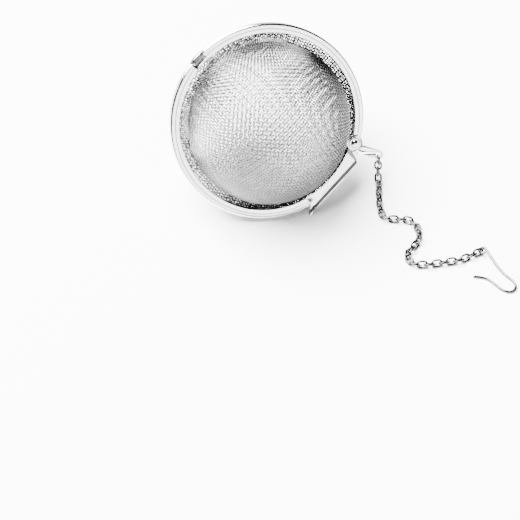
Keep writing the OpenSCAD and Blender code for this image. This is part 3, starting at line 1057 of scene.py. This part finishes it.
class INFUSER_OT_hook(bpy.types.Operator):
    """Bends the hook from one length of wire."""
    bl_idname = "infuser.hook"
    bl_label = "Make the hook"

    def execute(self, context):
        s = context.scene.infuser.chain
        joints = {j["name"]: j for j in frame["joints"]}
        end = np.array(joints["hook_swing"]["pos_m"]) / MM
        wire, eye_r = mm(s, "hook_wire", "eye_r")
        last = frame["record"]["behaviour"]["bodies"]["chain_end"][-1]
        centre, _ = link_place(last)
        out = end - centre / MM
        out /= np.linalg.norm(out)
        lean = np.cross((0, 0, 1.0), out) * math.cos(s.eye_lean) - np.array([0, 0, math.sin(s.eye_lean)])
        low = wire / 2 + 0.02
        middle = np.array([end[0], end[1], eye_r * math.sin(s.eye_lean) + wire / 2 + 0.03]) \
            + out * (eye_r - wire / 2 - 0.15)
        eye = [middle + eye_r * (lean * math.sin(a) - out * math.cos(a))
               for a in np.radians(np.arange(-80, 131, 7.5))]
        leg = [(51.5, -46, 0.6), (52, -49, 0.5), (53, -52, low), (54.2, -54.4, low), (54.5, -56.2, low),
               (53.6, -57.6, low), (52, -57.8, low), (50.4, -56.5, low), (49.1, -54.1, low),
               (47.9, -52.2, low), (46.3, -51.1, low), (44.4, -50.3, low)]
        course = np.array(eye + curve_through(leg, 7))
        radii = np.full(len(course), wire / 2)
        radii[0] *= 0.86
        radii[-1] *= 0.86
        piece = swept("hook_bent_wire", course * MM, radii * MM)
        dress(piece, material("hook_drawn"), "hook", "hook_wire", "hook")
        return {"FINISHED"}


# ---------------------------------------------------------------- stage

def plain(name, shade, rough):
    """A flat grey paint for the stage."""
    paint = bpy.data.materials.new(name)
    paint.use_nodes = True
    shader = paint.node_tree.nodes["Principled BSDF"]
    shader.inputs["Base Color"].default_value = grey(shade)
    shader.inputs["Roughness"].default_value = rough
    return paint, shader


def aimed(made, place, target, forward):
    """Puts a stage object at a place and turns its forward axis to the target."""
    made.location = place
    made.rotation_mode = "QUATERNION"
    made.rotation_quaternion = (Vector(target) - Vector(place)).to_track_quat(forward, "Y")


def card(name, centre, size, target, shade):
    """A flat dark card that faces the target, to be mirrored in the steel."""
    mesh = bpy.data.meshes.new(name)
    w, h = size[0] / 2, size[1] / 2
    mesh.from_pydata([(-w, -h, 0), (w, -h, 0), (w, h, 0), (-w, h, 0)], [], [(0, 1, 2, 3)])
    mesh.materials.append(plain(name, shade, 1.0)[0])
    aimed(linked(name, mesh), centre, target, "Z")


def lamp(name, place, size, power, target):
    """A soft rectangular light that faces the target."""
    data = bpy.data.lights.new(name, "AREA")
    data.shape = "RECTANGLE"
    data.size, data.size_y = size
    data.energy = power
    aimed(linked(name, data), place, target, "-Z")


class INFUSER_OT_stage(bpy.types.Operator):
    """Sets up the floor, the lights and the camera."""
    bl_idname = "infuser.stage"
    bl_label = "Set the stage"

    def execute(self, context):
        everything = context.scene.infuser
        s = everything.stage
        scene = context.scene

        mesh = bpy.data.meshes.new("floor")
        left, right, front, back = -0.45, 0.45, -0.32, 0.45
        mesh.from_pydata([(left, front, 0), (right, front, 0), (right, back, 0), (left, back, 0)], [],
                         [(0, 1, 2, 3)])
        paint, shader = plain("floor_white", 0.93, 0.9)
        shader.inputs["Specular IOR Level"].default_value = 0.1
        mesh.materials.append(paint)
        linked("floor", mesh)

        world = bpy.data.worlds.new("soft_room")
        scene.world = world
        world.use_nodes = True
        light = world.node_tree.nodes["Background"]
        light.inputs["Color"].default_value = grey(1.0)
        light.inputs["Strength"].default_value = s.world

        middle = (0.02, -0.01, 0.01)
        lamp("key_light", (-0.35, 0.30, 1.0), (1.1, 0.9), s.key, middle)
        lamp("front_light", (0.25, -1.15, 0.5), (1.0, 0.5), s.front, middle)
        card("dark_right", (0.9, 0.1, 0.35), (0.5, 0.22), (0, 0, 0.02), 0.01)

        ball = Ball(everything)
        a, e = s.azimuth, s.elevation
        away = Vector((math.sin(a) * math.cos(e), -math.cos(a) * math.cos(e), math.sin(e)))
        across = Vector((math.cos(a), math.sin(a), 0))
        data = bpy.data.cameras.new("camera")
        data.lens = s.lens
        data.sensor_width = 36
        data.clip_start, data.clip_end = 0.01, 20
        camera = linked("camera", data)
        camera.location = ball.centre + away * s.distance
        ahead = -away
        ahead.rotate(Matrix.Rotation(-s.drop, 4, across).to_quaternion())
        ahead.rotate(Matrix.Rotation(s.swing, 4, "Z").to_quaternion())
        camera.rotation_mode = "QUATERNION"
        camera.rotation_quaternion = ahead.to_track_quat("-Z", "Y")
        scene.camera = camera
        return {"FINISHED"}


# ---------------------------------------------------------------- panel and registration

class INFUSER_PT_panel(bpy.types.Panel):
    """The infuser's steps and settings."""
    bl_idname = "INFUSER_PT_panel"
    bl_label = "Tea infuser"
    bl_space_type = "VIEW_3D"
    bl_region_type = "UI"
    bl_category = "Infuser"

    def draw(self, context):
        everything = context.scene.infuser
        for step in STEPS:
            self.layout.operator(step.bl_idname)
        for name, group in GROUPS.items():
            box = self.layout.box()
            box.label(text=name.capitalize())
            for field in group.__annotations__:
                box.prop(getattr(everything, name), field)


STEPS = (INFUSER_OT_cloth, INFUSER_OT_rims, INFUSER_OT_lock, INFUSER_OT_chain, INFUSER_OT_hook,
         INFUSER_OT_stage)
CLASSES = (*GROUPS.values(), INFUSER_PG_all, *STEPS, INFUSER_PT_panel)


def register():
    """Adds the add-on's classes and its settings."""
    for made in CLASSES:
        bpy.utils.register_class(made)
    bpy.types.Scene.infuser = bpy.props.PointerProperty(type=INFUSER_PG_all, name="Infuser",
                                                        description="Settings of the tea infuser")


def unregister():
    """Removes them again."""
    del bpy.types.Scene.infuser
    for made in reversed(CLASSES):
        bpy.utils.unregister_class(made)


def main():
    """Builds every piece and the stage."""
    register()
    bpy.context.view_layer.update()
    for step in STEPS:
        area, name = step.bl_idname.split(".")
        getattr(getattr(bpy.ops, area), name)()


if __name__ == "__main__":
    main()
